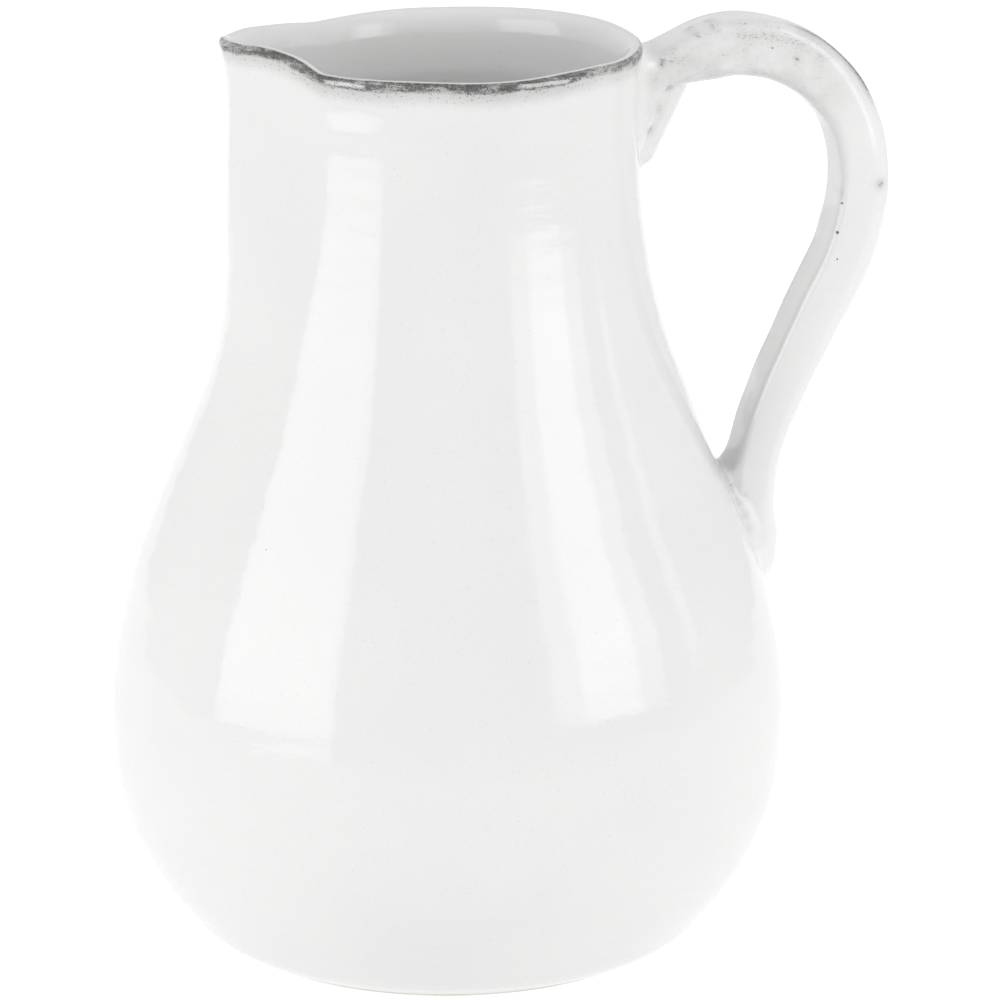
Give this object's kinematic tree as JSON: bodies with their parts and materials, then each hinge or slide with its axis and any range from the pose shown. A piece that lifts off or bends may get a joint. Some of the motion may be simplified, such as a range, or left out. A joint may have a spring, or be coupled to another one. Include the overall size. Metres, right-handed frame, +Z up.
{
  "type": "ceramic pitcher",
  "caption": "Pear-shaped wheel-thrown white-glazed stoneware pitcher with a pulled spout and a luted strap handle, for holding and pouring drinks or as a vase.",
  "frame": {"origin": "centre of the flat foot, on the table plane and on the thrown body's turning axis", "axes": "+Z up along the turning axis, +X towards the handle, -X towards the spout"},
  "size_m": [0.1959, 0.1684, 0.232],
  "materials": {
    "body_glaze": "gloss white glaze with a dark iron-speckled band outside the lip",
    "handle_glaze": "gloss white glaze, thin and dark-speckled along the strap's edges",
    "joint_glaze": "gloss white glaze over smeared joining clay"
  },
  "bodies": {
    "root": {"thrown_body": "body_glaze", "pulled_handle": "handle_glaze", "upper_joint_coil": "joint_glaze", "lower_joint_wad": "joint_glaze"}
  },
  "joints": []
}
